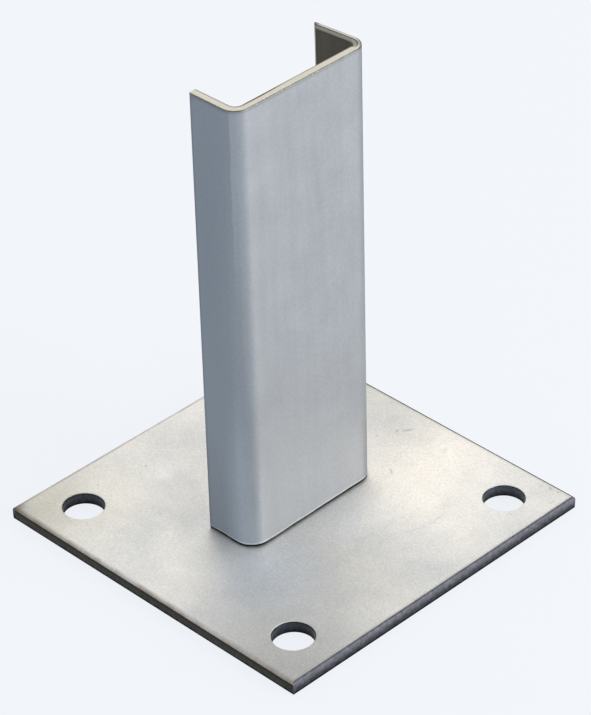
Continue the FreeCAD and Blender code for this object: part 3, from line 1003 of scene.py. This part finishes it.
@dataclass
class PostChannel:
    """Channel folded from one sheet. In its own axes the web's outer face is y = 0. Millimetres."""

    place: Placement = Placement(0.9, -10.45, 5.0, 0.6)
    half_web: float = 33.1
    left_flange: float = 22.7
    right_flange: float = 24.3
    lean_deg: float = 5.2
    height: float = 188.0
    sheet: float = 3.2
    top_bend: float = 6.4
    foot_bend: float = 7.6
    tip_round: float = 0.6
    foot_round: float = 0.7
    cut_round: float = 0.3
    # The shear's bevel, which runs in over this share of the right bend
    bevel_width: float = 1.7
    bevel_depth: float = 0.7
    bevel_share: float = 0.4
    # How much sooner the right flange's inner face ends, as a share of the depth
    end_slant: float = 0.7
    # Points round an edge and up the flat wall, and where the flat wall's even points begin
    round_points: int = 5
    wall_points: int = 60
    wall_margin: float = 4.0
    close_ring: float = 0.3
    # Cells along a flange, the left bend, the web and the right bend
    steps: tuple[int, int, int, int] = (16, 14, 48, 15)

    def finishes(self) -> list[Material]:
        """Make the finishes.

        Returns:
            Materials in the order of SheetSkin.
        """
        # Painted light and shade: darker down the right bend, a painted highlight low on the left bend,
        # lighter low on the left flange and darker high on it, darker along the web's top. Last, two nicks on
        # the web's right side
        rubbed = (
            Mark(32.6, -8.9, 2.8, 2.8, 0, -0.85, z=100, tall=900),
            Mark(-33, -6, 9, 11, 0, 0.5, z=5, tall=80),
            Mark(-33, 4, 7, 18, 0, 0.14, z=20, tall=70),
            Mark(0, -10.5, 60, 20, 0, -0.1, z=185, tall=90),
            Mark(-33, 6, 6, 16, 0, -0.1, z=130, tall=120),
            Mark(30.5, -10.5, 1.6, 1.6, 0, -0.25, z=155, tall=1),
            Mark(30.8, -10.5, 1.2, 1.2, 0, -0.2, z=126, tall=0.7),
        )
        # The weld's heat browned the inside just above each bead
        heated = (
            Mark(0.9, -7, 30, 6, 0.6, -0.4, z=7, tall=9),
            Mark(-29.3, 3.8, 5, 11, 0.6, -0.35, z=7, tall=9),
            Mark(30, 5.5, 5, 11, 5.8, -0.35, z=7, tall=9),
        )
        # Inside, painted shade: a dark, warm, dull finish that stands for the shade inside the channel
        inside = CoatedSheet("inner_sheet_painted_shade", body="#615E55", streaked="#59564E", flange="#5D5A52",
                             roughness=(0.58, 0.62), band_gain=0.0, marks=heated)
        return [CoatedSheet(marks=rubbed).material(), CutFaceSteel().material(), inside.material()]

    def bend_radius(self, height: Array) -> Array:
        """Outside radius of the bends, which opens a little from the cut end to the foot."""
        return self.foot_bend + (self.top_bend - self.foot_bend) * ramp(height, 0, self.height)

    def loop(self, bevel: Array) -> tuple[Array, Array, Array, int]:
        """Closed outline through the sheet: up the outside, over the cut, down the inside and back.

        Args:
            bevel: for each place along the fold line, how much of the shear's bevel there is, 0 to 1.

        Returns:
            Depth below the outer skin and height of every point, places by points, the material
            number of the cell after each point, and how many points one column has.
        """
        foot_in, foot_up = quarter_round(self.foot_round, self.round_points)
        cut_in, cut_down = quarter_round(self.cut_round, self.round_points)
        # A close ring beside each rounded edge keeps the flat wall's shading flat
        even = np.linspace(self.wall_margin, self.height - self.wall_margin, self.wall_points)
        wall = np.concatenate([[self.foot_round + self.close_ring], even,
                               [self.height - self.cut_round - self.close_ring]])
        level = np.concatenate([foot_up, wall, self.height - cut_in])
        # Depths of the points over the cut, close on its lip. The foot's are moved in, past its round edge
        bevel_from = self.sheet - self.bevel_width
        across = np.array([0.6, 1.0, bevel_from, 1.8, 2.2, 2.6, 2.9])
        under = across[::-1] * 0.75 + 0.75
        fall = self.bevel_depth * bevel[:, None]
        places, column, over = len(bevel), len(level), len(across)
        depth = np.concatenate([foot_in, 0 * wall, cut_down, across, np.full(column, self.sheet), under])
        height = np.concatenate([
            np.broadcast_to(level, (places, column)),
            self.height - fall * ramp(across, bevel_from, self.sheet),
            level[::-1] * (1 - fall / self.height), np.zeros((places, over))], axis=1)
        skin = np.full(len(depth), SheetSkin.CUT)
        skin[:column - self.round_points] = SheetSkin.OUTSIDE
        skin[column + over:2 * column + over - 1] = SheetSkin.INSIDE
        return np.broadcast_to(depth, height.shape), height, skin, column

    def places(self) -> tuple[Array, Array]:
        """Places along the fold line from the left tip to the right one, closest in a tip's round edge.

        Returns:
            For each place the number of its stretch and its share of that stretch. In a flange's
            round edge the share is the distance from the tip, and the rest follows it from 0.6 on.
        """
        tip = np.array([0, 0.03, 0.1, 0.22, 0.4])
        even = [np.linspace(0, 1, count + 1) for count in self.steps]
        flange = np.concatenate([tip, self.tip_round + even[0]])
        shares = [flange, *(share[1:] for share in even[1:]), flange[::-1][1:]]
        return np.repeat(np.arange(len(shares)), [len(share) for share in shares]), np.concatenate(shares)

    def section(self, stretch: Array, share: Array, depth: Array,
                height: Array) -> tuple[Array, Array]:
        """Where the sheet runs, seen from above.

        The flanges and the web are straight lines, and the bends are circles whose radius depends
        on the height. A point lies its depth inside the outer skin, along the skin's normal.
        Towards a tip the depth shrinks by a quarter circle, which rounds the tip's edges. The
        right flange's free edge is slanted: the deeper the point, the sooner the flange ends.

        Args:
            stretch: stretch of each place.
            share: share of that stretch.
            depth: places by points.
            height: places by points.

        Returns:
            The points, places by points by 3, and their distance from the nearer tip.
        """
        radius = self.bend_radius(height)
        lean = math.radians(self.lean_deg)
        share, stretch = share[:, None] + 0 * radius, stretch[:, None] + 0 * radius
        left, web, right_bend = (stretch == part for part in (
            Stretch.LEFT_FLANGE, Stretch.WEB, Stretch.RIGHT_BEND))
        on_flange = left | (stretch == Stretch.RIGHT_FLANGE)
        right = self.right_flange - radius - (radius - CAD_BEND) * math.sin(lean) - self.end_slant * depth
        flange = np.where(left, self.left_flange - radius, right)
        tip = np.where(share <= self.tip_round, share,
                       self.tip_round + (share - self.tip_round) * (flange - self.tip_round))
        shrink = self.tip_round - np.sqrt(self.tip_round ** 2 - np.clip(self.tip_round - tip, 0, None) ** 2)
        shrink = np.where(on_flange, shrink, 0)
        depth = shrink + depth * (1 - 2 * shrink / self.sheet)
        turned = 3 * QUARTER + share * (QUARTER + lean)
        angle = np.select([left, stretch == Stretch.LEFT_BEND, web, right_bend],
                          [math.pi, math.pi + share * QUARTER, 3 * QUARTER, turned], lean)
        # The point is its bend's middle plus the radius along the normal, moved along the flange or web
        spread = np.where(stretch <= Stretch.LEFT_BEND, -1, 1)
        middle_x = np.where(web, 2 * share - 1, spread) * (self.half_web - radius)
        run = np.where(on_flange, flange - tip, 0)
        x = middle_x + np.cos(angle) * (radius - depth) - np.where(left, 0, math.sin(lean)) * run
        y = radius + np.sin(angle) * (radius - depth) + np.where(left, 1, math.cos(lean)) * run
        return np.stack([x, y, height], axis=-1), np.where(on_flange, tip, self.half_web)

    def build(self) -> None:
        """Make the channel and put it in its CAD node's place."""
        stretch, share = self.places()
        on_bend = stretch == Stretch.RIGHT_BEND
        bevel = np.where(on_bend, ramp(share, 0, self.bevel_share), stretch > Stretch.RIGHT_BEND)
        bevel = bevel * bevel * (3 - 2 * bevel)
        depth, height, skin, column = self.loop(bevel)
        points, tip = self.section(stretch, share, depth, height)
        fold = np.where(stretch == Stretch.LEFT_BEND, share, stretch > Stretch.LEFT_BEND)
        values = [depth, np.minimum(tip, self.height - height), bevel[:, None], fold[:, None]]
        shell = Shell("depth_mm", "edge_mm", "bevel", "fold")
        shell.add_grid(points, skin, values, wrap=True)
        # Each free edge is closed by a patch between the outer column, the cut, the inner column and the foot
        over = depth.shape[1] // 2 - column
        across = np.linspace(0, 1, over + 2)[None, :, None]
        for ring in points[[0, -1]]:
            outer, cut, inner, foot = np.split(ring, [column, column + over, 2 * column + over])
            patch = outer[:, None] * (1 - across) + inner[::-1][:, None] * across
            patch[-1, 1:-1], patch[0, 1:-1] = cut, foot[::-1]
            shell.add_grid(patch, SheetSkin.CUT, [self.sheet / 2, 0.0, 0.0, 0.0])
        piece = shell.make("folded_channel", self.finishes(), sharp_deg=35, place=self.place)
        stand_for(piece, "post_channel")

    def weld_beads(self) -> list["WeldBead"]:
        """Weld beads inside the foot.

        Returns:
            One along the web and one in the middle of each flange's straight part.
        """
        lean, inside = math.radians(self.lean_deg), CAD_BEND - self.sheet
        half_left, half_right = (self.left_flange - CAD_BEND) / 2, (self.right_flange - CAD_BEND) / 2
        right_x = self.half_web - CAD_BEND + inside * math.cos(lean) - half_right * math.sin(lean)
        right_y = CAD_BEND + inside * math.sin(lean) + half_right * math.cos(lean)
        return [
            WeldBead("web_weld", 44.0, self.place.carry(0.0, self.sheet, 0.0)),
            WeldBead("left_flange_weld", 13.0,
                     self.place.carry(self.sheet - self.half_web, CAD_BEND + half_left, -90.0)),
            WeldBead("right_flange_weld", 13.0, self.place.carry(right_x, right_y, 90.0 + self.lean_deg)),
        ]


@dataclass
class WeldBead:
    """Fillet weld laid in one run. Its own X runs along the wall at y = 0. Millimetres."""

    node: str
    length: float
    place: Placement
    leg: float = 3.0
    crown: float = 0.4
    # Ripples: their spacing and depth, how far each crescent bends back, and how uneven they are, in
    # spacings. Above a power of 1 the crests are broad and the valleys narrow
    ripple: float = 1.3
    ripple_depth: float = 0.14
    crescent: float = 0.45
    uneven: float = 0.12
    uneven_cells: Span = (9.0, 1.0)
    ripple_power: float = 1.5
    roughness: float = 0.03
    rough_cells: Span = (5.0, 5.0)
    # A swinging end counts as travel at this share of the leg
    swing_share: float = 0.6
    end_points: int = 12
    arc_points: int = 17
    points_per_mm: int = 4

    def build(self, finish: Material) -> None:
        """Make the bead and put it in its CAD node's place.

        The face is an arc from the toe on the plate to the toe on the wall. It is carried along
        the run and swings a quarter turn about the wall at each end. Ripples are a sine along
        the run, delayed towards both toes so that each is a crescent.

        Args:
            finish: the weld's material.
        """
        rng = np.random.default_rng(SEED + int(self.length))
        radius = (self.leg ** 2 / 2 + self.crown ** 2) / (2 * self.crown)
        centre = self.leg / 2 - (radius - self.crown) / math.sqrt(2)
        first = math.atan2(-centre, self.leg - centre)
        half_run = self.length / 2 - self.leg
        turn = np.linspace(0, QUARTER, self.end_points + 1)[1:]
        run = np.linspace(-half_run, half_run, int(2 * half_run * self.points_per_mm))
        along = np.concatenate([0 * turn - half_run, run, 0 * turn + half_run])
        swing = np.concatenate([-turn[::-1], 0 * run, turn])[:, None]
        arc = np.linspace(first, QUARTER - first, self.arc_points)
        across = np.linspace(-1, 1, len(arc))[None, :]
        travel = along[:, None] + self.swing_share * self.leg * swing
        wobble = self.uneven * drift(rng, len(along), 1, *self.uneven_cells)
        beat = 2 * math.pi * (travel / self.ripple + wobble - self.crescent * across ** 2)
        dip = self.ripple_depth * (0.5 + 0.5 * np.sin(beat)) ** self.ripple_power
        grain = self.roughness * np.abs(drift(rng, len(along), len(arc), *self.rough_cells))
        dip = (dip + grain) * (1 - across ** 4)
        reach = centre + (radius - dip) * np.cos(arc)
        rise = centre + (radius - dip) * np.sin(arc)
        face = np.stack([along[:, None] + reach * np.sin(swing), reach * np.cos(swing), rise], axis=-1)
        corner = np.stack([along, 0 * along, 0 * along], axis=-1)[:, None]
        shell = Shell("dip_mm")
        shell.add_grid(np.concatenate([face, corner], axis=1), 0,
                       [np.concatenate([dip, 0 * dip[:, :1]], axis=1)], wrap=True)
        for end in (0, -1):
            shell.add_grid(np.stack([face[end], np.broadcast_to(corner[end], face[end].shape)]), 0, [0.0])
        piece = shell.make(self.node + "_bead", [finish], sharp_deg=60, place=self.place)
        stand_for(piece, self.node)


@dataclass(frozen=True)
class PhotoCamera:
    """Camera at the photograph's angle, found by fitting it to the plate's corners and holes."""

    azimuth_deg: float = -43.972
    elevation_deg: float = 34.826
    roll_deg: float = -1.717
    distance_mm: float = 1269.66
    focal_px: float = 3534.35
    target_mm: tuple[float, float, float] = (-12.041, -15.858, 85.0)
    # Nearest and farthest distance that it sees, in metres
    reach: Span = (0.05, 20.0)

    def build(self) -> None:
        """Make the camera and let the scene use it."""
        turn, roll = math.radians(self.azimuth_deg), math.radians(self.roll_deg)
        back = direction(self.azimuth_deg, self.elevation_deg)
        right = Vector((math.cos(turn), math.sin(turn), 0))
        up = back.cross(right)
        across = math.cos(roll) * right + math.sin(roll) * up
        above = math.cos(roll) * up - math.sin(roll) * right
        data = bpy.data.cameras.new("photo_camera")
        data.lens = self.focal_px / PHOTO_HEIGHT_PX * SENSOR_MM
        data.sensor_width = SENSOR_MM
        data.clip_start, data.clip_end = self.reach
        camera = add_object("photo_camera", data)
        stand = (Vector(self.target_mm) + back * self.distance_mm) * MM
        camera.matrix_world = Matrix.Translation(stand) @ Matrix((across, above, back)).transposed().to_4x4()
        bpy.context.scene.camera = camera


@dataclass(frozen=True)
class SoftBox:
    """Square studio lamp that looks at the part. Metres and watts."""

    name: str
    azimuth_deg: float
    elevation_deg: float
    distance: float
    side: float
    watts: float
    colour: str = "#FFFFFF"
    aim_height: float = 0.06

    def build(self) -> None:
        """Make the lamp."""
        data = bpy.data.lights.new(self.name, "AREA")
        data.shape = "SQUARE"
        data.size, data.energy = self.side, self.watts
        data.color = linear(self.colour)[:3]
        out = direction(self.azimuth_deg, self.elevation_deg)
        lamp = add_object(self.name, data)
        lamp.location = out * self.distance + Vector((0, 0, self.aim_height))
        lamp.rotation_euler = out.to_track_quat("Z", "Y").to_euler()
        lamp.visible_camera = False


@dataclass
class Studio:
    """Pale floor and backdrop, soft lamps and even light from all round. Metres."""

    backdrop: str = "#F3F6FB"
    floor_tone: str = "#D5D8DC"
    floor_half: float = 8.0
    floor_drop: float = 0.0002
    # Share of a real shadow that shows near the part, and where it starts and ends to fade away
    shadow_share: float = 0.1
    shadow_near: float = 0.3
    shadow_far: float = 0.9
    ambient: float = 1.0
    lamps: tuple[SoftBox, ...] = (
        SoftBox("back_panel", 140.0, 38.0, 1.6, 1.2, 5.0, "#FFFCF6"),
        SoftBox("key_softbox", 22.0, 12.0, 1.4, 0.7, 25.0),
    )

    def floor_material(self) -> Material:
        """Matt floor, which the camera and reflections see mostly in the backdrop's own colour.

        Returns:
            The material.
        """
        nodes = Nodes("matt_studio_floor")
        nodes.tree.nodes.remove(nodes.shader)
        camera, glossy, through = (nodes.add("LightPath", out=f"Is {kind} Ray")
                                   for kind in ("Camera", "Glossy", "Transmission"))
        matt = nodes.add("BsdfDiffuse", [linear(self.floor_tone)])
        glow = nodes.add("Emission", [linear(self.backdrop), 1.0])
        mirrored = nodes.add("Math", [glossy, through], operation="MAXIMUM")
        shown = nodes.add("Math", [camera, mirrored], operation="MAXIMUM")
        away = nodes.add("VectorMath", [nodes.place], operation="LENGTH")
        even = nodes.add("MapRange", [away, self.shadow_near, self.shadow_far, 1 - self.shadow_share, 1.0])
        share = nodes.add("Math", [shown, even], operation="MULTIPLY")
        mixed = nodes.add("MixShader", [share, matt, glow])
        nodes.fill(nodes.tree.nodes["Material Output"], [mixed])
        return nodes.material

    def floor(self) -> None:
        """Lay the floor just under the part, clear of its underside."""
        points = np.array([[-1, -1, 0], [1, -1, 0], [1, 1, 0], [-1, 1, 0]]) * self.floor_half
        mesh = bpy.data.meshes.new("studio_floor")
        mesh.from_pydata(points.tolist(), [], [(0, 1, 2, 3)])
        mesh.materials.append(self.floor_material())
        floor = add_object("studio_floor", mesh)
        floor.location.z = -self.floor_drop

    def world(self) -> None:
        """Set the backdrop's colour, which is also the even light from all round."""
        world = bpy.data.worlds.new("studio")
        bpy.context.scene.world = world
        world.use_nodes = True
        backdrop = world.node_tree.nodes["Background"]
        backdrop.inputs["Color"].default_value = linear(self.backdrop)
        backdrop.inputs["Strength"].default_value = self.ambient

    def build(self) -> None:
        """Set up the floor, the world and the lamps."""
        self.floor()
        self.world()
        for lamp in self.lamps:
            lamp.build()
        bpy.context.scene.view_settings.view_transform = "Standard"


def main() -> None:
    """Build the camera, the studio and the part's sub-assemblies, and note both boxes."""
    logging.basicConfig(level=logging.INFO, format="%(name)s %(message)s")
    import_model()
    PhotoCamera().build()
    Studio().build()
    BasePlate().build()
    channel = PostChannel()
    channel.build()
    weld = WeldSteel().material()
    for bead in channel.weld_beads():
        bead.build(weld)


if __name__ == "__main__":
    main()
